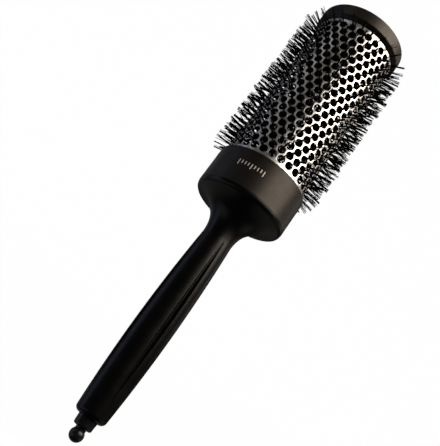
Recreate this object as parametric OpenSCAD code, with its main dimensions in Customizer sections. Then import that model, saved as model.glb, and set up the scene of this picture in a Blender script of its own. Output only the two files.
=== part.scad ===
// Round thermal barrel brush: perforated metal barrel, nylon tufts on a twisted wire core,
// moulded handle with a pull-out sectioning pick in its tail. The brush stands on its end cap:
// z = 0 is the cap's outer face and +Z runs along the axis to the tail.

/* [Barrel] */
// Outside diameter of the metal barrel
barrel_d = 44; // [43:0.5:45]
// Wall of the barrel tube
barrel_wall = 0.8; // [0.6:0.1:1]
// Rows of holes along the barrel
rows = 21; // [21:1:21]
// Holes round one row
holes_per_row = 28; // [26:1:28]
// Distance from one row to the next
row_pitch = 4.17; // [4.1:0.01:4.2]
// Diameter of one hole
hole_d = 3.6; // [3:0.1:3.8]
// Angle of the first hole from +X
hole_phase = 7.3; // [0:0.1:12.8]

/* [Bristles] */
// Radius that the bristle tips reach
tuft_tip_r = 30.4; // [28:0.1:31.5]
// Width of a tuft where it leaves the core
tuft_root_d = 0.9; // [0.8:0.1:1.2]
// Width of a tuft at its tips
tuft_tip_d = 2.4; // [2:0.1:3]

/* [Collar and cap] */
// Outside diameter of the collar and of the end cap's band
band_d = 48; // [47.6:0.1:48.4]
// Length of the band round the end cap
cap_band_h = 6.6; // [6:0.1:7]
// Height at which the cap's lip ends and bare metal starts
lip_top = 8.4; // [8.2:0.1:9]
// Height at which the collar starts
collar_z = 99.7; // [99.4:0.1:100]
// Length of the collar
collar_h = 19.25; // [18:0.05:20]

/* [Handle] */
// Narrowest radius of the handle, at the neck
neck_r = 7.9; // [7.5:0.1:8.2]
// Height of the neck's narrowest point
neck_z = 139.4; // [136:0.2:140]
// Widest radius of the grip
belly_r = 9.4; // [9:0.1:9.8]
// Height of the widest point of the grip
belly_z = 189.4; // [185:0.2:193]
// Radius of the grip just before its rounded end
tail_r = 7.85; // [7.6:0.05:8.1]
// Height of the handle's end face
tail_z = 239.5; // [239:0.1:240.4]
// Grooves round the grip
grooves = 4; // [3:1:4]
// Radius of a groove's floor at its neck end
groove_floor = 7.7; // [7.6:0.05:7.8]
// How far a groove's floor leans outwards towards the tail, in degrees
groove_lean = 0.3; // [0:0.05:0.4]
// Angle of the first groove from +X
groove_phase = 66; // [0:1:89]

/* [Pick] */
// Radius of the pick's steel pin
pin_r = 1.5; // [1.3:0.1:1.6]
// Radius of the ball on the pick's knob
ball_r = 3.45; // [3:0.05:4]
// Radius of the knob's shoulder where it meets the handle
shoulder_r = 4.8; // [4.6:0.1:5.2]

/* [Hidden] */
ROW_NODES = [for (i = [1:rows]) str("bristle_row_", i < 10 ? "0" : "", i)];
$fn = 96;

black = [0.06, 0.06, 0.065];
charcoal = [0.23, 0.22, 0.21];
steel = [0.6, 0.61, 0.63];

gap = 0.05;         // between parts that are pressed or slid together
slide_gap = 0.06;   // round the pick, in its liner and in the handle's mouth
barrel_r = barrel_d / 2;
bore_r = barrel_r - barrel_wall;
band_r = band_d / 2;
band_t = 1.0;
collar_lip = 0.8;   // thickness of the collar's lip
collar_top = collar_z + collar_h;
tube_z0 = 3.2;      // the tube's ends, hidden in the cap and in the collar
tube_z1 = collar_z + 14.7;
rows_mid = 53.8;    // height of the middle row
row_z0 = rows_mid - (rows - 1) / 2 * row_pitch;
spigot_r = bore_r - gap;
spigot_z0 = collar_z - 1.1;
spigot_wall = 2.4;
spigot_roof = 116;  // underside of the spigot's end plate
boss_r = 5.4;       // boss on the spigot that holds the wire core's ferrule
boss_z1 = 123.9;    // its end, in the handle's socket
pin_z = 106.4;      // height of the pins that lock the tube to the handle
cross_pin_r = 1.0;
wire_r = 0.8;
wire_offset = 0.85;
wire_z0 = 4.2;
wire_z1 = 121.4;
wire_turn = 16;     // length of one turn of the twist
wire_slices = 12;   // straight steps in one turn
ferrule_r = 3.2;
ferrule_bore = wire_offset + wire_r + gap;
hub_r = 8;          // the filaments are packed solid inside this radius
hub_h = 1.8;
mouth_z = 229.9;    // floor of the wide mouth in the handle's tail
mouth_r = 4.1;
liner_r = 3.0;
liner_z0 = 150.4;
knob_z0 = mouth_z + 0.7;
ball_z = tail_z + 8.4;
end_round = 2.6;    // rounding of the handle's tail end
shoulder_round = 1.0;
ring_z = 234.4;     // height of the rubber ring in its groove
ring_r = 0.6;
knob_bore = 6;      // depth of the hole in the knob that holds the steel pin

// A point on a cubic curve through four control points.
function bezier(a, b, c, d, t) =
    pow(1 - t, 3) * a + 3 * pow(1 - t, 2) * t * b + 3 * (1 - t) * t * t * c + t * t * t * d;
// Points of an arc about c, from angle a0 to a1.
function arc(c, r, a0, a1, n = 8) =
    [for (i = [0:n]) let (a = a0 + (a1 - a0) * i / n) c + r * [cos(a), sin(a)]];
// Radius of the grip at height z: it falls away from the belly as a parabola on each side.
function grip_r(z) = let (end = z < belly_z ? [neck_r, neck_z] : [tail_r, tail_z - end_round])
    belly_r - (belly_r - end[0]) * pow((z - belly_z) / (end[1] - belly_z), 2);

module ring(r_out, r_in, z0, z1) {
    translate([0, 0, z0]) difference() {
        cylinder(h = z1 - z0, r = r_out);
        translate([0, 0, -1]) cylinder(h = z1 - z0 + 2, r = r_in);
    }
}

module radial_pins(r, from, to) {
    for (a = [30, 150, 270]) rotate([0, 0, a]) translate([from, 0, pin_z])
        rotate([0, 90, 0]) cylinder(h = to - from, r = r, $fn = 32);
}

// Outside of the handle: cup rim, shoulder, flare to the neck, grip and rounded end.
module handle_outline() {
    rim = 2;                 // rounding between the collar and the shoulder
    rim_r = band_r - 0.15;   // the rim stands in a little from the collar
    slope = 19;              // slope of the shoulder
    rim_c = [rim_r - rim, collar_top + 0.45];
    foot = rim_c + rim * [cos(90 - slope), sin(90 - slope)];
    reach = 9.2;             // how far the shoulder and the neck pull the flare's curve
    shoulder_pull = foot + reach * [-cos(slope), sin(slope)];
    neck_pull = [neck_r, neck_z - 11.5];
    neck = [neck_r, neck_z];
    polygon(concat(
        [[0, collar_top], [rim_r, collar_top]],
        arc(rim_c, rim, 0, 90 - slope),
        [for (i = [1:16]) bezier(foot, shoulder_pull, neck_pull, neck, i / 16)],
        [for (z = [neck_z + 4:4:tail_z - end_round - 1]) [grip_r(z), z]],
        arc([tail_r - end_round, tail_z - end_round], end_round, 0, 90),
        [[0, tail_z]]));
}

// Section of a groove: sides at 45 degrees and a narrow flat floor.
module groove_section() {
    floor_w = 0.3;
    depth = 3;
    polygon([[0, -floor_w / 2], [depth, -depth - floor_w / 2],
             [depth, depth + floor_w / 2], [0, floor_w / 2]]);
}

// One moulding: shoulder, grooved grip, socket for the spigot and bore for the pick.
module handle() {
    groove_z0 = neck_z + 1.4;
    color(black) difference() {
        rotate_extrude() handle_outline();
        translate([0, 0, collar_top - 1])
            cylinder(h = boss_z1 + 0.5 - collar_top + 1, r = boss_r + gap);
        for (i = [0:grooves - 1]) rotate([0, 0, groove_phase + i * 360 / grooves])
            translate([groove_floor, 0, groove_z0]) rotate([0, groove_lean, 0])
                linear_extrude(height = tail_z - groove_z0) groove_section();
        translate([0, 0, liner_z0 - 0.2]) cylinder(h = tail_z - liner_z0, r = liner_r + gap);
        translate([0, 0, mouth_z]) cylinder(h = tail_z + 1 - mouth_z, r = mouth_r);
    }
}

// Ribbed insert that carries the barrel and the wire core, held in the handle's socket by its boss.
module spigot() {
    rib_t = 1.6;
    color("dimgray") difference() {
        union() {
            ring(spigot_r, spigot_r - spigot_wall, spigot_z0, spigot_roof + 0.1);
            translate([0, 0, spigot_roof])
                cylinder(h = collar_top - gap - spigot_roof, r = spigot_r);
            translate([0, 0, spigot_z0]) cylinder(h = boss_z1 - spigot_z0, r = boss_r);
            for (a = [0, 60, 120]) rotate([0, 0, a])
                translate([1 - spigot_r, -rib_t / 2, spigot_z0 + 2])
                    cube([2 * (spigot_r - 1), rib_t, spigot_roof - spigot_z0 - 1.9]);
        }
        translate([0, 0, spigot_z0 - 1]) cylinder(h = wire_z1 + 1.1 - spigot_z0, r = ferrule_r + gap);
        radial_pins(cross_pin_r + gap, boss_r + 9, band_r);
    }
}

// Painted sleeve over the joint of barrel and handle, with a lip that closes on the metal.
module collar_band() {
    edge = 0.25;
    color(charcoal) rotate_extrude() polygon([
        [barrel_r + gap, collar_z], [band_r - edge, collar_z], [band_r, collar_z + edge],
        [band_r, collar_top - gap], [band_r - band_t, collar_top - gap],
        [band_r - band_t, collar_z + collar_lip], [barrel_r + gap, collar_z + collar_lip]]);
}

// Heat-insulating sleeve between the hot tube and the collar.
module collar_sleeve() {
    color("dimgray") difference() {
        ring(band_r - band_t - gap, barrel_r + gap, collar_z + collar_lip + 2 * gap, collar_top - 2 * gap);
        radial_pins(cross_pin_r + gap, barrel_r - 1, barrel_r + 0.5);
    }
}

module barrel_tube() {
    color("silver") difference() {
        ring(barrel_r, bore_r, tube_z0, tube_z1);
        for (i = [0:rows - 1], j = [0:holes_per_row - 1])
            rotate([0, 0, hole_phase + (j + (i % 2) / 2) * 360 / holes_per_row])
                translate([bore_r - 1, 0, row_z0 + i * row_pitch])
                    rotate([0, 90, 0]) cylinder(h = barrel_wall + 2, r = hole_d / 2, $fn = 24);
        radial_pins(cross_pin_r + gap, bore_r - 1, barrel_r + 1);
    }
}

// Steel pins that lock the tube to the handle's spigot, under the collar.
module barrel_pins() {
    color(steel) radial_pins(cross_pin_r, spigot_r - spigot_wall - 0.6, barrel_r + 0.4);
}

module core_wire(turn) {
    length = wire_z1 - wire_z0;
    color(steel) translate([0, 0, wire_z0])
        linear_extrude(height = length, twist = -360 * length / wire_turn,
                       slices = round(wire_slices * length / wire_turn), $fn = 8)
            rotate([0, 0, turn]) translate([wire_offset, 0]) circle(r = wire_r);
}

module core_wire_a() { core_wire(0); }
module core_wire_b() { core_wire(180); }

// Brass sleeves crimped on the two ends of the wire core.
module handle_ferrule() { color("goldenrod") ring(ferrule_r, ferrule_bore, spigot_z0 + 1, wire_z1); }
module cap_ferrule() { color("goldenrod") ring(ferrule_r, ferrule_bore, tube_z0, lip_top - 0.7); }

// Ribbed disc that centres the wire core in the cap's end of the tube.
module core_disc() {
    hub = ferrule_r + 2.2;
    rim_t = 1.6;
    spoke_t = 1.6;
    spoke_h = 4.2;
    rim_top = lip_top - 0.4;
    hub_top = lip_top - 0.7;
    color("dimgray") difference() {
        union() {
            ring(spigot_r, spigot_r - rim_t, tube_z0, rim_top);
            ring(hub, ferrule_r + gap, tube_z0, hub_top);
            ring(spigot_r - 1, hub - 1, tube_z0, tube_z0 + rim_t);
            for (a = [0:60:120]) rotate([0, 0, a]) difference() {
                translate([1 - spigot_r, -spoke_t / 2, tube_z0 + 0.5])
                    cube([2 * (spigot_r - 1), spoke_t, spoke_h - 0.5]);
                cylinder(h = lip_top, r = hub - 1);
            }
        }
    }
}

// One row of nylon: filaments packed round the wire core, gathered into a tuft in each hole.
module bristle_row(i) {
    root_r = hub_r - 0.4;
    color(black) translate([0, 0, row_z0 + i * row_pitch]) union() {
        ring(hub_r, ferrule_bore + 0.1, -hub_h / 2, hub_h / 2);
        for (j = [0:holes_per_row - 1])
            rotate([0, 0, hole_phase + (j + (i % 2) / 2) * 360 / holes_per_row])
                translate([root_r, 0, 0]) rotate([0, 90, 0])
                    cylinder(h = tuft_tip_r - root_r, r1 = tuft_root_d / 2, r2 = tuft_tip_d / 2, $fn = 16);
    }
}

// Cap over the end of the barrel: flat base, skirt round the tube and a sloping lip.
module end_cap() {
    skirt_r = band_r - band_t - gap;
    base_h = 2.9;
    edge = 0.5;
    step_r = band_r - 0.15;
    color(black) rotate_extrude() polygon([
        [0, 0], [skirt_r - edge, 0], [skirt_r, edge], [skirt_r, cap_band_h + gap],
        [step_r, cap_band_h + gap], [step_r, cap_band_h + 0.2],
        [barrel_r + 0.6, lip_top - 0.2], [barrel_r + 0.4, lip_top], [barrel_r + gap, lip_top],
        [barrel_r + gap, base_h], [0, base_h]]);
}

// Painted band round the end cap.
module cap_band() {
    edge = 0.3;
    color(charcoal) rotate_extrude() polygon([
        [band_r - band_t, edge], [band_r - band_t + edge, 0], [band_r - edge, 0], [band_r, edge],
        [band_r, cap_band_h], [band_r - band_t, cap_band_h]]);
}

// Smooth tube in the handle's bore that the pick slides in.
module pick_liner() { color("dimgray") ring(liner_r, pin_r + slide_gap, liner_z0, mouth_z - gap); }

// Knob that pulls the pick out: plug with a ring groove, shoulder, neck and ball.
module pick_knob() {
    plug_r = mouth_r - slide_gap;
    seat = tail_z + gap;
    top = seat + 4.75;
    top_r = shoulder_r - 0.3;
    knob_neck_r = 2.55;
    color(black) difference() {
        rotate_extrude() union() {
            polygon(concat(
                [[0, knob_z0], [plug_r - 0.3, knob_z0], [plug_r, knob_z0 + 0.3], [plug_r, seat],
                 [shoulder_r, seat]],
                arc([top_r - shoulder_round, top - shoulder_round], shoulder_round, 0, 90),
                [[knob_neck_r, top + 0.3], [knob_neck_r, ball_z], [0, ball_z]]));
            translate([0, ball_z]) intersection() {
                circle(r = ball_r);
                translate([0, -ball_r]) square([ball_r, 2 * ball_r]);
            }
        }
        translate([0, 0, knob_z0 - 1]) cylinder(h = knob_bore + 1, r = pin_r + 0.01);
        translate([0, 0, ring_z - ring_r]) difference() {
            cylinder(h = 2 * ring_r, r = mouth_r + 1);
            translate([0, 0, -1]) cylinder(h = 4, r = mouth_r - gap - 2 * ring_r);
        }
    }
}

// Steel pin of the pick, with a tapered and rounded tip for parting hair.
module pick_pin() {
    tip_z = 157.4;
    tip_r = 0.45;
    taper = 14;
    pin_end = knob_z0 + knob_bore - 0.1;
    color(steel) rotate_extrude() polygon(concat(
        arc([0, tip_z + tip_r], tip_r, -90, 0, 6),
        [[pin_r, tip_z + taper], [pin_r, pin_end], [0, pin_end]]));
}

// Rubber ring that holds the pick in the handle's mouth by friction.
module pick_ring() {
    color([0.1, 0.1, 0.1]) translate([0, 0, ring_z]) rotate_extrude()
        translate([mouth_r - gap - ring_r, 0]) circle(r = ring_r - 0.02, $fn = 32);
}

handle();
spigot();
collar_band();
collar_sleeve();
barrel_tube();
barrel_pins();
core_wire_a();
core_wire_b();
handle_ferrule();
cap_ferrule();
core_disc();
for (i = [0:rows - 1]) bristle_row(i);
end_cap();
cap_band();
pick_liner();
pick_knob();
pick_pin();
pick_ring();
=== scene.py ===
"""Looks of a round thermal barrel brush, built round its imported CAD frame.

Lengths are in mm until scaled by MM. Azimuths are in degrees from +X.
"""
import math
import random

import bmesh
import bpy
from mathutils import Matrix, Vector


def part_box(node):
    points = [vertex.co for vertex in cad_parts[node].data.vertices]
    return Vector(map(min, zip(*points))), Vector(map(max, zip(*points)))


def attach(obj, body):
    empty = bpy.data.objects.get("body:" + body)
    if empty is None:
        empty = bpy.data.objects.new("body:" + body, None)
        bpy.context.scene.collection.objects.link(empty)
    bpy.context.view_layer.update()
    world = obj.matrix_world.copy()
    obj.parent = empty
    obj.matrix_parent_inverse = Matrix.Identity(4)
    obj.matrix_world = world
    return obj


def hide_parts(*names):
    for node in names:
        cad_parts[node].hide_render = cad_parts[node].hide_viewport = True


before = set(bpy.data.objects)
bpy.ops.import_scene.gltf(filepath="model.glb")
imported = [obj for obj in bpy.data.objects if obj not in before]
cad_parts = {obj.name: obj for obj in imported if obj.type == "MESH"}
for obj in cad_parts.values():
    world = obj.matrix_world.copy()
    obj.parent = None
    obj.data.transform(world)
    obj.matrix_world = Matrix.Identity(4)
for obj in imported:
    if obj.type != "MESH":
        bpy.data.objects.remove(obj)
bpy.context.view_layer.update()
MM = 0.001

# ---- sizes that the frame doesn't state; the rest is read from the CAD boxes below ----
HOLES_PER_ROW = 28
HOLE_STEP = 360 / HOLES_PER_ROW
HOLE_D = 4.2                # a punched hole opens slightly at the surface
HOLE_PHASE = 7.3            # azimuth of the first hole of the first row
TUBE_WALL = 0.8
BAND_WALL = 1.0             # of the painted bands on the collar and the cap
FIT = 0.05                  # gap between a moulding and the piece it sits on
GROOVES = 4
GROOVE_PHASE = 66.0         # azimuth of the grip's first groove
GROOVE_FLOOR = 7.7          # radius of a groove's floor at its neck end
GROOVE_LEAN = 0.3           # degrees that the floor leans outwards
GROOVE_FLAT = 0.3           # width of the floor between its 45 degree sides
NECK_R, NECK_Z = 7.9, 139.4
GRIP_Z = NECK_Z + 1.4       # the grooves begin here, just past the neck
BELLY_R, BELLY_Z = 9.4, 189.4
TAIL_R, END_ROUND = 7.85, 2.6
MOUTH_R, MOUTH_Z = 4.1, 229.9
BORE_R, BORE_Z = 3.05, 150.2
SOCKET_R, SOCKET_Z = 5.45, 124.4
RING_Z, RING_GROOVE = 234.4, 0.6
ON_AXIS = 1e-6              # a profile point with a smaller radius becomes one vertex


def box_mm(node):
    """Lowest and highest corner of a CAD node, in mm."""
    lo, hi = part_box(node)
    return lo / MM, hi / MM


ROW_NODES = sorted(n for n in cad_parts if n.startswith("bristle_row_"))
ROW_Z = [(box_mm(n)[0].z + box_mm(n)[1].z) / 2 for n in ROW_NODES]
TUBE_LO, TUBE_HI = box_mm("barrel_tube")
TUBE_R = TUBE_HI.x
COLLAR_LO, COLLAR_HI = box_mm("collar_band")
CAP_BAND_TOP = box_mm("cap_band")[1].z
CAP_TOP = box_mm("end_cap")[1].z
BAND_R = COLLAR_HI.x
HANDLE_LO, HANDLE_HI = box_mm("handle")
TAIL_Z = HANDLE_HI.z
KNOB_LO, KNOB_HI = box_mm("pick_knob")
TIP_R = box_mm(ROW_NODES[0])[1].x


# ---- mesh helpers ----
def link_mesh(name, verts, faces, material, smooth_angle=32.0):
    """A mesh object from points in mm, smooth except across edges sharper than smooth_angle degrees."""
    mesh = bpy.data.meshes.new(name)
    mesh.from_pydata([(x * MM, y * MM, z * MM) for x, y, z in verts], [], faces)
    mesh.update()
    mesh.polygons.foreach_set("use_smooth", [True] * len(mesh.polygons))
    mesh.set_sharp_from_angle(angle=math.radians(smooth_angle))
    mesh.materials.append(material)
    ob = bpy.data.objects.new(name, mesh)
    bpy.context.scene.collection.objects.link(ob)
    return ob


def arc(cx, cy, r, a0, a1, steps):
    """Points of an arc in the profile's plane, from angle a0 to a1 in degrees."""
    return [(cx + r * math.cos(math.radians(a0 + (a1 - a0) * i / steps)),
             cy + r * math.sin(math.radians(a0 + (a1 - a0) * i / steps))) for i in range(steps + 1)]


def rounded(corners, steps=5):
    """A profile whose corners (r, z, fillet) are rounded, with a support point just beyond each rounding."""
    support = 0.12
    out = []
    for i, (x, y, f) in enumerate(corners):
        if f == 0 or i in (0, len(corners) - 1):
            out.append((x, y))
            continue
        here = Vector((x, y))
        back = Vector(corners[i - 1][:2]) - here
        ahead = Vector(corners[i + 1][:2]) - here
        turn = math.pi - back.angle(ahead)
        cut = f * math.tan(turn / 2)
        back, ahead = back.normalized(), ahead.normalized()
        centre = here + (back + ahead).normalized() * (f / math.cos(turn / 2))
        start, end = here + back * cut - centre, here + ahead * cut - centre
        out.append(tuple(here + back * (cut + support)))
        sweep = start.angle_signed(end)
        for k in range(steps + 1):
            a = -sweep * k / steps
            out.append(tuple(centre + Vector((start.x * math.cos(a) - start.y * math.sin(a),
                                              start.x * math.sin(a) + start.y * math.cos(a)))))
        out.append(tuple(here + ahead * (cut + support)))
    return out


def revolve(name, profile, material, segments, closed=True):
    """A surface of revolution about Z. A closed one also joins the profile's end to its start."""
    verts, rings, faces = [], [], []
    for r, z in profile:
        if r < ON_AXIS:
            rings.append([len(verts)])
            verts.append((0.0, 0.0, z))
            continue
        rings.append(list(range(len(verts), len(verts) + segments)))
        verts += [(r * math.cos(2 * math.pi * j / segments), r * math.sin(2 * math.pi * j / segments), z)
                  for j in range(segments)]
    pairs = list(zip(rings, rings[1:]))
    if closed and len(rings[0]) > 1 and len(rings[-1]) > 1:
        pairs.append((rings[-1], rings[0]))
    for a, b in pairs:
        for j in range(segments):
            k = (j + 1) % segments
            if len(a) == 1:
                faces.append((a[0], b[j], b[k]))
            elif len(b) == 1:
                faces.append((a[j], b[0], a[k]))
            else:
                faces.append((a[j], b[j], b[k], a[k]))
    return outward(link_mesh(name, verts, faces, material))


def outward(ob):
    """Turns every face's normal outwards."""
    bm = bmesh.new()
    bm.from_mesh(ob.data)
    bmesh.ops.recalc_face_normals(bm, faces=bm.faces)
    bm.to_mesh(ob.data)
    bm.free()
    return ob


def stands_for(ob, body, slot, *nodes):
    """Rides on a body and replaces CAD nodes. The slot is not used."""
    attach(ob, body)
    if nodes:
        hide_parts(*nodes)


# ---- materials ----
class Material:
    """A node material with one Principled shader, and short ways to add the nodes that drive it."""

    def __init__(self, name, **inputs):
        self.mat = bpy.data.materials.new(name)
        self.mat.use_nodes = True
        self.nodes, self.links = self.mat.node_tree.nodes, self.mat.node_tree.links
        self.shader = next(n for n in self.nodes if n.type == "BSDF_PRINCIPLED")
        for key, value in inputs.items():
            self.shader.inputs[key.replace("_", " ")].default_value = value
        self.coord = self.nodes.new("ShaderNodeTexCoord").outputs["Object"]

    def scaled(self, scale):
        """Object coordinates stretched by a scale for each axis."""
        node = self.nodes.new("ShaderNodeMapping")
        node.inputs["Scale"].default_value = scale
        self.links.new(self.coord, node.inputs["Vector"])
        return node.outputs["Vector"]

    def radius(self):
        """Distance from the brush's axis."""
        node = self.nodes.new("ShaderNodeVectorMath")
        node.operation = "LENGTH"
        self.links.new(self.scaled((1, 1, 0)), node.inputs[0])
        return node.outputs["Value"]

    def noise(self, scale, detail=3.0, coord=None):
        """Smooth noise from 0 to 1, with scale bumps to a metre."""
        node = self.nodes.new("ShaderNodeTexNoise")
        node.inputs["Scale"].default_value = scale
        node.inputs["Detail"].default_value = detail
        self.links.new(coord or self.coord, node.inputs["Vector"])
        return node.outputs["Fac"]

    def cells(self, scale):
        """A random value for each small cell, as paint flakes have."""
        node = self.nodes.new("ShaderNodeTexVoronoi")
        node.inputs["Scale"].default_value = scale
        self.links.new(self.coord, node.inputs["Vector"])
        split = self.nodes.new("ShaderNodeSeparateColor")
        self.links.new(node.outputs["Color"], split.inputs["Color"])
        return split.outputs["Red"]

    def ranged(self, value, low, high, to_low, to_high):
        """The value, with the stretch from low to high mapped onto to_low to to_high."""
        node = self.nodes.new("ShaderNodeMapRange")
        self.links.new(value, node.inputs["Value"])
        for key, number in zip(("From Min", "From Max", "To Min", "To Max"), (low, high, to_low, to_high)):
            node.inputs[key].default_value = number
        return node.outputs["Result"]

    def ramp(self, value, stops):
        """Colours at positions from 0 to 1."""
        node = self.nodes.new("ShaderNodeValToRGB")
        self.links.new(value, node.inputs["Fac"])
        while len(node.color_ramp.elements) < len(stops):
            node.color_ramp.elements.new(0.5)
        for element, (place, colour) in zip(node.color_ramp.elements, stops):
            element.position, element.color = place, (*colour, 1.0)
        return node.outputs["Color"]

    def mix(self, factor, a, b):
        """Colour a where factor is 0 and b where it is 1. Each is a socket or three numbers."""
        node = self.nodes.new("ShaderNodeMix")
        node.data_type = "RGBA"
        for socket, value in zip((node.inputs[0], node.inputs[6], node.inputs[7]), (factor, a, b)):
            if isinstance(value, tuple):
                socket.default_value = (*value, 1.0)
            else:
                self.links.new(value, socket)
        return node.outputs[2]

    def drive(self, key, value):
        """Links a node's output to one of the shader's inputs."""
        self.links.new(value, self.shader.inputs[key])

    def tone(self, value, low, dark, high, light):
        """The base colour, dark where value is below low and light where it is above high."""
        self.drive("Base Color", self.ramp(value, [(low, dark), (high, light)]))

    def sheen(self, value, low, high, smooth, rough):
        """The roughness, from smooth where value is below low to rough where it is above high."""
        self.drive("Roughness", self.ranged(value, low, high, smooth, rough))

    def bump(self, height, depth_mm):
        """Adds a bump of the given depth on top of those added before."""
        node = self.nodes.new("ShaderNodeBump")
        node.inputs["Distance"].default_value = depth_mm * MM
        self.links.new(height, node.inputs["Height"])
        earlier = self.shader.inputs["Normal"].links
        if earlier:
            self.links.new(earlier[0].from_socket, node.inputs["Normal"])
        self.links.new(node.outputs["Normal"], self.shader.inputs["Normal"])


def grey(level):
    """A neutral colour."""
    return (level, level, level)


def satin_black(name, base, roughness, specular=0.26):
    """Moulded black plastic: a fine spark-eroded grain, faint mottling and polish where hands rub."""
    m = Material(name, IOR=1.5, Specular_IOR_Level=specular)
    m.tone(m.noise(60, 2), 0.3, tuple(c * 0.8 for c in base), 0.7, tuple(c * 1.25 for c in base))
    m.sheen(m.noise(140, 4), 0.25, 0.75, roughness - 0.05, roughness + 0.06)
    grain = 0.25
    m.bump(m.noise(1 / (grain * MM), 2), 0.004)
    m.bump(m.noise(900, 2), 0.003)
    return m.mat


def gloss_black(name):
    """Turned and polished black plastic."""
    m = Material(name, IOR=1.5, Specular_IOR_Level=0.35)
    m.tone(m.noise(200), 0.3, grey(0.004), 0.7, (0.008, 0.008, 0.009))
    m.sheen(m.noise(500, 4), 0.3, 0.7, 0.24, 0.32)
    m.bump(m.noise(1200, 2), 0.002)
    return m.mat


def charcoal_paint(name, dark, light):
    """Charcoal paint with fine aluminium flake under a satin lacquer, a little worn on its edges."""
    m = Material(name, Metallic=0.75, IOR=1.5)
    flake = m.cells(7000)
    middle = tuple((a + b) / 2 for a, b in zip(dark, light))
    base = m.ramp(flake, [(0.0, dark), (0.75, middle), (1.0, light)])
    geometry = m.nodes.new("ShaderNodeNewGeometry")
    worn = m.ranged(geometry.outputs["Pointiness"], 0.53, 0.6, 0.0, 0.6)
    m.drive("Base Color", m.mix(worn, base, (0.12, 0.11, 0.10)))
    m.sheen(m.noise(250, 4), 0.3, 0.7, 0.40, 0.46)
    m.bump(flake, 0.002)
    m.bump(m.noise(1500, 2), 0.0025)
    return m.mat


def bright_tube(name):
    """Drawn aluminium, polished, with faint lines along it, haze from use and painted shade in its holes and
    inside.
    """
    m = Material(name, Metallic=1.0)
    lines = m.noise(2500, coord=m.scaled((1, 1, 0.02)))
    haze = m.noise(90, 4)
    # painted shade: the base colour turns dark below the outer surface, on the hole walls and inside the tube
    painted_hole_shade = m.ranged(m.radius(), (TUBE_R - 0.25) * MM, (TUBE_R - 0.05) * MM, 1.0, 0.0)
    polished = m.ramp(haze, [(0.3, (0.80, 0.785, 0.77)), (0.7, (0.88, 0.87, 0.86))])
    m.drive("Base Color", m.mix(painted_hole_shade, polished, (0.16, 0.155, 0.15)))
    m.sheen(haze, 0.25, 0.75, 0.33, 0.42)
    m.bump(lines, 0.003)
    return m.mat


def nylon(name):
    """Black nylon filament: each a little different, with a faint sheen."""
    m = Material(name, IOR=1.53, Specular_IOR_Level=0.07)
    m.tone(m.noise(400, 2), 0.3, grey(0.0008), 0.75, (0.0025, 0.0024, 0.0023))
    m.sheen(m.noise(700, 2), 0.3, 0.7, 0.34, 0.5)
    m.bump(m.noise(4000, 1), 0.006)
    return m.mat


def steel(name):
    """Drawn steel, with lines along it."""
    m = Material(name, Metallic=1.0)
    m.tone(m.noise(120), 0.3, (0.52, 0.53, 0.55), 0.7, (0.63, 0.64, 0.66))
    m.sheen(m.noise(2500, coord=m.scaled((1, 1, 0.03))), 0.3, 0.7, 0.18, 0.32)
    m.bump(m.noise(3000, coord=m.scaled((1, 1, 0.02))), 0.002)
    return m.mat


def brass(name):
    """Turned brass, with lines round it."""
    m = Material(name, Metallic=1.0)
    m.tone(m.noise(150), 0.3, (0.60, 0.42, 0.17), 0.7, (0.72, 0.53, 0.24))
    m.sheen(m.noise(900, coord=m.scaled((0.1, 0.1, 1))), 0.3, 0.7, 0.2, 0.38)
    m.bump(m.noise(2000, 2, coord=m.scaled((0.05, 0.05, 1))), 0.004)
    return m.mat


def rubber(name):
    """Matt black rubber, slightly dusty."""
    m = Material(name, IOR=1.5)
    m.tone(m.noise(300), 0.3, grey(0.012), 0.7, grey(0.022))
    m.sheen(m.noise(900), 0.3, 0.7, 0.6, 0.75)
    m.bump(m.noise(3000, 2), 0.005)
    return m.mat


def print_grey(name):
    """Pad-printed silver ink, thin and slightly uneven."""
    m = Material(name, Metallic=0.2, IOR=1.45)
    m.tone(m.noise(2500), 0.25, (0.6, 0.59, 0.57), 0.6, (0.85, 0.84, 0.82))
    m.sheen(m.noise(1500), 0.3, 0.7, 0.4, 0.55)
    m.bump(m.noise(5000, 2), 0.003)
    return m.mat


HANDLE_BLACK = satin_black("handle_black", grey(0.0008), 0.345, 0.2)
CAP_BLACK = satin_black("cap_black", grey(0.0015), 0.42)
INSULATOR = satin_black("insulator", (0.03, 0.03, 0.031), 0.5)
KNOB_BLACK = gloss_black("knob_black")
CHARCOAL = charcoal_paint("charcoal", (0.0213, 0.0189, 0.0162), (0.040, 0.0354, 0.0305))
# the cap band's charcoal is a lighter copy of the collar's: painted light, standing in for the stronger light
# on the cap
CAP_CHARCOAL_PAINTED_LIGHT = charcoal_paint("cap_charcoal_painted_light", (0.0277, 0.0246, 0.0211), (0.052, 0.046, 0.0397))
TUBE_METAL = bright_tube("barrel_metal")
NYLON = nylon("bristle_nylon")
STEEL = steel("steel")
BRASS = brass("brass")
RUBBER = rubber("ring_rubber")
INK = print_grey("print_grey")


# ---- handle ----
def bezier(a, b, c, d, t):
    """Point of a cubic curve at t."""
    return tuple((1 - t) ** 3 * p + 3 * (1 - t) ** 2 * t * q + 3 * (1 - t) * t * t * r + t ** 3 * s
                 for p, q, r, s in zip(a, b, c, d))


def grip_radius(z):
    """The grip falls away from its belly as a parabola on each side."""
    end_r, end_z = (NECK_R, NECK_Z) if z < BELLY_Z else (TAIL_R, TAIL_Z - END_ROUND)
    return BELLY_R - (BELLY_R - end_r) * ((z - BELLY_Z) / (end_z - BELLY_Z)) ** 2


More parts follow.
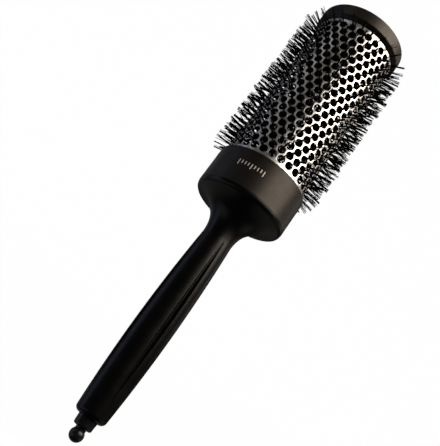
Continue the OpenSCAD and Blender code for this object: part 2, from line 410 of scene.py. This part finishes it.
def handle_profile():
    """(r, z) from the spigot's socket round the outside to the blind end of the pick's bore."""
    seat = HANDLE_LO.z
    rim_r = BAND_R - 0.15                       # the rim stands in a little from the collar
    rim = 2.0                                   # rounding of the rim
    slope = 19.0                                # degrees that the shoulder falls at the rim
    foot_pull, neck_pull = 9.2, 11.5            # how far the shoulder's curve keeps each end's direction
    cx, cy = rim_r - rim, seat + 0.45
    fall = math.radians(slope)
    foot = (cx + rim * math.sin(fall), cy + rim * math.cos(fall))
    after_foot = (foot[0] - foot_pull * math.cos(fall), foot[1] + foot_pull * math.sin(fall))
    neck = (NECK_R, NECK_Z)
    before_neck = (NECK_R, NECK_Z - neck_pull)
    points = [(0, SOCKET_Z), (SOCKET_R, SOCKET_Z), (SOCKET_R, seat), (rim_r, seat), (rim_r, seat + 0.02)]
    points += arc(cx, cy, rim, 2, 90 - slope, 12)
    curve_steps, grip_steps = 40, 84
    points += [bezier(foot, after_foot, before_neck, neck, (t + 1) / curve_steps) for t in range(curve_steps)]
    points += [(grip_radius(GRIP_Z + d), GRIP_Z + d) for d in (-0.15, -0.05, 0.0, 0.3)]
    end = TAIL_Z - END_ROUND
    heights = [GRIP_Z + (end - GRIP_Z) * i / grip_steps for i in range(1, grip_steps)]
    points += [(grip_radius(z), z) for z in heights]
    points += arc(TAIL_R - END_ROUND, end, END_ROUND, 0, 90, 12)
    lip = 0.3
    points += arc(MOUTH_R + lip, TAIL_Z - lip, lip, 90, 180, 4)
    points += [(MOUTH_R, TAIL_Z - 1.0), (MOUTH_R, MOUTH_Z + lip), (MOUTH_R - lip, MOUTH_Z), (BORE_R, MOUTH_Z)]
    points += [(BORE_R, BORE_Z), (0, BORE_Z)]
    return points


def groove_angles():
    """Azimuths of the handle's columns: close together at the grooves, wider between them."""
    half = 12.0                                 # degrees each side of a groove that have close columns
    fine, coarse = 40, 14                       # columns at a groove and between two
    out = []
    for g in range(GROOVES):
        centre = GROOVE_PHASE + g * 360 / GROOVES
        out += [centre - half + 2 * half * i / fine for i in range(fine)]
        gap = 360 / GROOVES - 2 * half
        out += [centre + half + gap * i / coarse for i in range(coarse)]
    return out


def grooved(r, z, azimuth):
    """Radius after the grooves are cut along the grip, with their edges eased."""
    if z < GRIP_Z - 0.1:
        return r
    pitch = 360 / GROOVES
    off = math.radians((azimuth - GROOVE_PHASE + pitch / 2) % pitch - pitch / 2)
    floor = GROOVE_FLOOR + (z - GRIP_Z) * math.tan(math.radians(GROOVE_LEAN))
    slope = math.tan(abs(off))
    rise = max(slope * floor - GROOVE_FLAT / 2, 0.0) / (1 - slope)
    wall = (floor + rise) / math.cos(off)
    ease = 0.1
    blend = max(ease - abs(r - wall), 0.0) / ease
    return min(r, wall) - blend * blend * ease / 4


def build_handle():
    """The handle's profile turned round Z, with its grooves cut into the outside."""
    angles = groove_angles()
    verts, rings, faces = [], [], []
    for r, z in handle_profile():
        if r < ON_AXIS:
            rings.append([len(verts)])
            verts.append((0, 0, z))
            continue
        outside = z > HANDLE_LO.z + 0.5 and r > MOUTH_R + 0.5
        rings.append(range(len(verts), len(verts) + len(angles)))
        for azimuth in angles:
            cut = grooved(r, z, azimuth) if outside else r
            a = math.radians(azimuth)
            verts.append((cut * math.cos(a), cut * math.sin(a), z))
    for a, b in zip(rings, rings[1:]):
        for j in range(len(angles)):
            k = (j + 1) % len(angles)
            if len(a) == 1:
                faces.append((a[0], b[k], b[j]))
            elif len(b) == 1:
                faces.append((a[j], a[k], b[0]))
            else:
                faces.append((a[j], a[k], b[k], b[j]))
    ob = outward(link_mesh("handle_moulding", verts, faces, HANDLE_BLACK, 38))
    stands_for(ob, "brush", "handle_black", "handle")


# ---- collar, cap and their bands ----
def build_collar():
    """A painted sleeve with a thin lip that closes on the tube."""
    inner, lip_r, lip = BAND_R - BAND_WALL, TUBE_R + FIT, 0.8
    z0, z1 = COLLAR_LO.z, COLLAR_HI.z
    profile = rounded([(lip_r, z0 + 0.4, 0), (lip_r, z0, 0.1), (BAND_R, z0, 0.3), (BAND_R, z1, 0.05),
                       (inner, z1, 0.05), (inner, z0 + lip, 0.05),
                       (lip_r, z0 + lip, 0.05), (lip_r, z0 + 0.5, 0)])
    stands_for(revolve("collar", profile, CHARCOAL, 256), "brush", "charcoal", "collar_band")


def build_cap():
    """The cap's moulding, with a groove in its end and a sloping lip round the tube, and its band."""
    band_in = BAND_R - BAND_WALL
    side, seat, shelf = band_in - FIT, TUBE_R + FIT, CAP_BAND_TOP + FIT
    floor = 2.9                                 # thickness of the cap's end
    groove_r, groove_w, groove_d = 13, 1.6, 0.3
    lip_r = BAND_R - 0.15                       # the lip covers the band's edge
    profile = rounded([(0, 0, 0), (groove_r, 0, 0), (groove_r + groove_d, groove_d, 0.1),
                       (groove_r + groove_w - groove_d, groove_d, 0.1), (groove_r + groove_w, 0, 0.1),
                       (side, 0, 0.45), (side, shelf, 0.05),
                       (lip_r, shelf, 0.03), (lip_r, shelf + 0.15, 0.06),
                       (TUBE_R + 0.6, CAP_TOP - 0.2, 0.15), (TUBE_R + 0.4, CAP_TOP, 0.08),
                       (seat, CAP_TOP, 0.05), (seat, floor, 0.1), (0, floor, 0)])
    stands_for(revolve("cap_moulding", profile, CAP_BLACK, 192), "brush", "cap_black", "end_cap")
    profile = rounded([(band_in, 3, 0), (band_in, 0, 0.3), (BAND_R, 0, 0.35), (BAND_R, CAP_BAND_TOP, 0.2),
                       (band_in, CAP_BAND_TOP, 0.1), (band_in, 3.5, 0)])
    # the band takes the lighter copy of the charcoal, which is painted light
    stands_for(revolve("cap_ring", profile, CAP_CHARCOAL_PAINTED_LIGHT, 256), "brush", "charcoal", "cap_band")


def build_mark():
    """A generic row of graduation ticks printed round the collar, in place of any lettering."""
    count, tall_every = 9, 4
    middle, pitch = 287, 4.1                    # degrees
    thick, tall, short, film = 0.5, 3.0, 1.9, 0.03
    low = COLLAR_LO.z + 6.9
    half = math.degrees(thick / 2 / BAND_R)
    steps = 3
    n = steps + 1
    verts, faces = [], []
    for i in range(count):
        height = tall if i % tall_every == 0 else short
        centre = middle + (i - (count - 1) / 2) * pitch
        start = len(verts)
        for z in (low, low + height):
            for r in (BAND_R - film, BAND_R + film):
                for k in range(n):
                    a = math.radians(centre - half + 2 * half * k / steps)
                    verts.append((r * math.cos(a), r * math.sin(a), z))
        for k in range(steps):
            a, b, c, d = (start + q * n + k for q in range(4))
            faces += [(a, a + 1, b + 1, b), (c, d, d + 1, c + 1)]
            faces += [(b, b + 1, d + 1, d), (a, c, c + 1, a + 1)]
        a, b, c, d = (start + q * n for q in range(4))
        faces.append((a, b, d, c))
        a, b, c, d = (start + q * n + steps for q in range(4))
        faces.append((a, c, d, b))
    stands_for(outward(link_mesh("collar_ticks", verts, faces, INK)), "brush", "charcoal")


# ---- perforated barrel ----
def hole_azimuth(row, place):
    """Azimuth of a hole. Every second row is turned by half a hole."""
    return HOLE_PHASE + (place + (row % 2) / 2) * HOLE_STEP


def build_tube():
    """The tube as one unit cell round each hole, repeated and wrapped, with eased punched edges."""
    pitch_z = ROW_Z[1] - ROW_Z[0]
    per_side = 6
    segments = 4 * per_side
    ease = 0.045
    edge = ((0, 1), (0.13, 0.5), (0.6, 0), (0.9, 0))        # depth and width of the easing, in parts of ease
    hole = HOLE_D / 2
    inner_r = TUBE_R - TUBE_WALL
    layers = [(TUBE_R, None)] + [(TUBE_R - deep * ease, hole + wide * ease) for deep, wide in edge]
    layers += [(inner_r, hole), (inner_r, None)]
    fine = 4000                                             # points closer than 1 / fine mm or degree are one
    verts, faces, seen = [], [], {}

    def vertex(r, azimuth, z):
        """Number of the vertex at this place, which neighbouring cells share."""
        key = (round(r * fine / 2), round((azimuth % 360) * fine) % (360 * fine), round(z * fine))
        if key not in seen:
            a = math.radians(azimuth)
            seen[key] = len(verts)
            verts.append((r * math.cos(a), r * math.sin(a), z))
        return seen[key]

    def square(k):
        """Point k round the cell's edge, from its corner, as fractions of half the cell."""
        side, along = divmod(k, per_side)
        t = -1 + 2 * along / per_side
        return [(t, -1), (1, t), (-t, 1), (-1, -t)][side]

    mm_per_degree = math.pi * TUBE_R / 180

    def place(k, middle, height, radius):
        """Azimuth and height of point k round a hole, or round its cell's edge if radius is None."""
        u, v = square(k)
        if radius is None:
            return middle + u * HOLE_STEP / 2, height + v * pitch_z / 2
        a = math.atan2(v * pitch_z, u * HOLE_STEP * mm_per_degree)
        return middle + radius * math.cos(a) / mm_per_degree, height + radius * math.sin(a)

    for i, z in enumerate(ROW_Z):
        for j in range(HOLES_PER_ROW):
            azimuth = hole_azimuth(i, j)
            rings = [[vertex(r, *place(k, azimuth, z, radius)) for k in range(segments)]
                     for r, radius in layers]
            for a, b in zip(rings, rings[1:]):
                for k in range(segments):
                    n = (k + 1) % segments
                    faces.append((a[k], a[n], b[n], b[k]))
    span = HOLE_STEP / per_side
    low_strip = (0, ROW_Z[0] - pitch_z / 2, TUBE_LO.z)
    high_strip = (len(ROW_Z) - 1, ROW_Z[-1] + pitch_z / 2, TUBE_HI.z)
    for row, z_edge, z_end in (low_strip, high_strip):
        turn = hole_azimuth(row, 0) - HOLE_STEP / 2
        for k in range(HOLES_PER_ROW * per_side):
            a0, a1 = turn + k * span, turn + (k + 1) * span
            for r in (TUBE_R, inner_r):
                faces.append((vertex(r, a0, z_edge), vertex(r, a1, z_edge),
                              vertex(r, a1, z_end), vertex(r, a0, z_end)))
            faces.append((vertex(TUBE_R, a0, z_end), vertex(TUBE_R, a1, z_end),
                          vertex(inner_r, a1, z_end), vertex(inner_r, a0, z_end)))
    ob = outward(link_mesh("barrel", verts, faces, TUBE_METAL, 38))
    stands_for(ob, "brush", "barrel_metal", "barrel_tube")


# ---- bristles ----
def strand(path, radii, sides, verts, faces):
    """A thin round rod along path, closed at both ends."""
    start = len(verts)
    side = Vector((0, 0, 1))
    for i, (p, r) in enumerate(zip(path, radii)):
        ahead = (path[min(i + 1, len(path) - 1)] - path[max(i - 1, 0)]).normalized()
        u = side.cross(ahead).normalized()
        w = ahead.cross(u)
        for k in range(sides):
            a = 2 * math.pi * k / sides
            verts.append(tuple(p + (u * math.cos(a) + w * math.sin(a)) * r))
    for i in range(len(path) - 1):
        for k in range(sides):
            n = (k + 1) % sides
            a = start + i * sides
            faces.append((a + k, a + n, a + sides + n, a + sides + k))
    faces.append(tuple(start + k for k in reversed(range(sides))))
    faces.append(tuple(start + (len(path) - 1) * sides + k for k in range(sides)))


def build_bristles():
    """Each tuft leaves its hole as a tight bundle and fans out a little, trimmed to about one length."""
    rng = random.Random(44)
    filaments, filament_r = 7, 0.145
    hub_r = 5.5                                 # where the filaments start, on the wire core
    splay = 0.16                                # how far the end rows lean outwards
    fan = 0.13                                  # how far a filament leans away from its tuft's middle
    stray_share, short_share = 0.035, 0.12
    radii = [filament_r] * 5 + [filament_r * 0.85]
    up = Vector((0, 0, 1))
    for i, (node, z) in enumerate(zip(ROW_NODES, ROW_Z)):
        verts, faces = [], []
        lift = up * z
        row_lean = splay * ((i / (len(ROW_Z) - 1) - 0.5) * 2) ** 5
        for j in range(HOLES_PER_ROW):
            azimuth = math.radians(hole_azimuth(i, j))
            out = Vector((math.cos(azimuth), math.sin(azimuth), 0))
            along = Vector((-math.sin(azimuth), math.cos(azimuth), 0))
            place = along * rng.gauss(0, 0.22) + up * rng.gauss(-0.1, 0.22)
            lean = along * rng.gauss(0, 0.075) + up * (rng.gauss(-0.05, 0.085) + row_lean)
            trim = rng.gauss(TIP_R + 0.15, 0.35)
            for f in range(filaments):
                turn = 2 * math.pi * (f + rng.random()) / filaments
                offset = (along * math.cos(turn) + up * math.sin(turn)) * rng.uniform(0.08, 0.36)
                own = lean + offset * fan + along * rng.gauss(0, 0.035) + up * rng.gauss(0, 0.035)
                if rng.random() < stray_share:
                    own += along * rng.gauss(0, 0.25) + up * rng.gauss(0, 0.3)
                at_wall = out * TUBE_R + place + offset
                reach = (trim - rng.uniform(0, 0.5) - TUBE_R) / math.sqrt(1 + own.length_squared)
                if rng.random() < short_share:
                    reach *= rng.uniform(0.75, 0.95)
                bend = along * rng.gauss(0, 0.03) + up * rng.gauss(0, 0.03)
                root = out * hub_r + along * rng.uniform(-0.7, 0.7) + up * rng.uniform(-1.0, 1.0)
                path = [root, (root * 0.45 + at_wall * 0.55) + offset * 0.3, at_wall - out * 1.2, at_wall]
                for t in (0.5, 1.0):
                    path.append(at_wall + (out + own) * (reach * t) + bend * (t * (1 - t)) * 4)
                strand([p + lift for p in path], radii, 6, verts, faces)
        ob = link_mesh(f"bristles_{i + 1:02d}", verts, faces, NYLON, 60)
        stands_for(ob, "brush", "bristle_nylon", node)


# ---- pick ----
def build_knob():
    """The plug in the handle's mouth, with a groove for the rubber ring, a shoulder, a neck and a ball."""
    z0, seat = KNOB_LO.z, TAIL_Z + FIT
    pin_r, pin_top = 1.52, z0 + 6               # blind hole that holds the pin
    plug, shoulder, neck, ball_r = MOUTH_R - 0.06, 4.8, 2.55, 3.45
    top = seat + 4.75
    low, high, floor = RING_Z - RING_GROOVE, RING_Z + RING_GROOVE, MOUTH_R - FIT - 2 * RING_GROOVE
    profile = [(0, pin_top), (pin_r, pin_top)]
    profile += rounded([(pin_r, z0 + 0.5, 0), (pin_r, z0, 0.1), (plug, z0, 0.3), (plug, low, 0.05),
                        (floor, low, 0.05), (floor, high, 0.05), (plug, high, 0.05), (plug, seat, 0.05),
                        (shoulder, seat, 0.15), (shoulder - 0.3, top, 1.0), (neck, top + 0.25, 0.25),
                        (neck, top + 2, 0)], 7)[:-1]
    profile += arc(0, KNOB_HI.z - ball_r, ball_r, -math.degrees(math.acos(neck / ball_r)), 89, 40)
    profile += [(0, KNOB_HI.z)]
    stands_for(revolve("knob", profile, KNOB_BLACK, 128, closed=False), "pick", "knob_black", "pick_knob")


# ---- CAD pieces that keep their own shape ----
def finish_cad(material, *nodes):
    """Gives CAD nodes a procedural material."""
    for node in nodes:
        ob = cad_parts[node]
        ob.data.materials.clear()
        ob.data.materials.append(material)


build_handle()
build_collar()
build_cap()
build_mark()
build_tube()
build_bristles()
build_knob()
finish_cad(INSULATOR, "spigot", "collar_sleeve", "core_disc", "pick_liner")
finish_cad(STEEL, "barrel_pins", "core_wire_a", "core_wire_b", "pick_pin")
finish_cad(BRASS, "handle_ferrule", "cap_ferrule")
finish_cad(RUBBER, "pick_ring")


# ---- camera at the photograph's viewing angle ----
def build_camera():
    """Looks at the brush from 20 degrees above, rolled so that the handle points down and left."""
    tilt, roll = math.radians(20.01), math.radians(54.055)
    distance = 403.33
    left_shift, down_shift = 20.16, 21.90       # from the collar's barrel end
    cap_way = Vector((0, -math.sin(tilt), -math.cos(tilt)))     # towards the cap, square to the view
    back = Vector((0, -math.cos(tilt), math.sin(tilt)))         # towards the camera
    across = Vector((-1, 0, 0))
    right = cap_way * math.cos(roll) + across * math.sin(roll)
    top = cap_way * math.sin(roll) - across * math.cos(roll)
    collar = Vector((0, 0, COLLAR_LO.z))
    place = collar - right * left_shift - top * down_shift + back * distance
    data = bpy.data.cameras.new("camera")
    data.sensor_width = 36
    data.lens = 66.285
    data.clip_start, data.clip_end = 0.01, 200
    cam = bpy.data.objects.new("camera", data)
    bpy.context.scene.collection.objects.link(cam)
    turn = Matrix((right, top, back)).transposed().to_4x4()
    cam.matrix_world = Matrix.Translation(place * MM) @ turn
    bpy.context.scene.camera = cam


def area_light(name, azimuth, elevation, distance, size, power, colour):
    """A softbox aimed at the brush, distance metres away and size metres large.

    Azimuth is from the photograph's side, positive to its right. Some softboxes are below the floor, which
    casts no shadow.
    """
    target = Vector((0, 0, 0.1))
    a, e = math.radians(azimuth), math.radians(elevation)
    way = Vector((-math.sin(a) * math.cos(e), -math.cos(a) * math.cos(e), math.sin(e)))
    data = bpy.data.lights.new(name, "AREA")
    data.shape, data.size, data.size_y = "RECTANGLE", size[0], size[1]
    data.energy, data.color = power, colour
    ob = bpy.data.objects.new(name, data)
    ob.location = target + way * distance
    ob.rotation_mode = "QUATERNION"
    ob.rotation_quaternion = way.to_track_quat("Z", "Y")
    bpy.context.scene.collection.objects.link(ob)


def build_floor():
    """A pale floor that glows by itself and is only seen: it lights, shades and mirrors nothing."""
    half = 60.0
    mesh = bpy.data.meshes.new("floor")
    corners = [(-half, -half, 0), (half, -half, 0), (half, half, 0), (-half, half, 0)]
    mesh.from_pydata(corners, [], [(0, 1, 2, 3)])
    floor = bpy.data.objects.new("floor", mesh)
    pale = Material("floor", Roughness=0.9, Specular_IOR_Level=0.0,
                    Emission_Color=(1, 1, 1, 1), Emission_Strength=0.99)
    pale.tone(pale.noise(3), 0.3, grey(0.02), 0.7, grey(0.03))
    mesh.materials.append(pale.mat)
    bpy.context.scene.collection.objects.link(floor)
    floor.visible_glossy = False
    floor.visible_diffuse = False
    floor.visible_shadow = False


def build_world():
    """White where the camera sees it, and a faint warm light everywhere else."""
    world = bpy.data.worlds.new("studio")
    bpy.context.scene.world = world
    world.use_nodes = True
    nodes, links = world.node_tree.nodes, world.node_tree.links
    nodes.clear()
    seen, ambient = nodes.new("ShaderNodeBackground"), nodes.new("ShaderNodeBackground")
    seen.inputs["Color"].default_value = (1, 1, 1, 1)
    seen.inputs["Strength"].default_value = 1.0
    ambient.inputs["Color"].default_value = (1.0, 0.98, 0.95, 1)
    ambient.inputs["Strength"].default_value = 0.035
    path, mix = nodes.new("ShaderNodeLightPath"), nodes.new("ShaderNodeMixShader")
    out = nodes.new("ShaderNodeOutputWorld")
    links.new(path.outputs["Is Camera Ray"], mix.inputs["Fac"])
    links.new(ambient.outputs[0], mix.inputs[1])
    links.new(seen.outputs[0], mix.inputs[2])
    links.new(mix.outputs[0], out.inputs["Surface"])


def build_lights():
    """Softboxes round the brush: name, azimuth, elevation, distance, size, power and colour."""
    area_light("key", 51, -35, 0.9, (1.0, 0.6), 12.3, (1.0, 0.89, 0.76))
    area_light("left", -92, 0, 1.0, (0.35, 0.9), 1.1, (0.66, 0.72, 1.0))
    area_light("left_back", -140, -8, 1.0, (0.7, 1.0), 0.45, (0.8, 0.86, 1.0))
    area_light("left_low", -68, -38, 1.0, (0.36, 0.36), 0.22, (1.0, 0.98, 0.93))
    area_light("left_top", -75, 38, 1.0, (1.3, 0.5), 1.0, (0.85, 0.88, 1.0))
    area_light("right_back", 125, -26, 1.0, (0.4, 0.7), 0.5, (1.0, 0.95, 0.9))
    area_light("right_top", 100, 28, 1.0, (0.8, 0.6), 0.45, (1.0, 0.95, 0.88))
    area_light("back_top", 180, 42, 1.0, (1.2, 1.0), 0.65, (1.0, 0.95, 0.88))


bpy.context.scene.view_settings.view_transform = "Standard"
build_camera()
build_floor()
build_world()
build_lights()
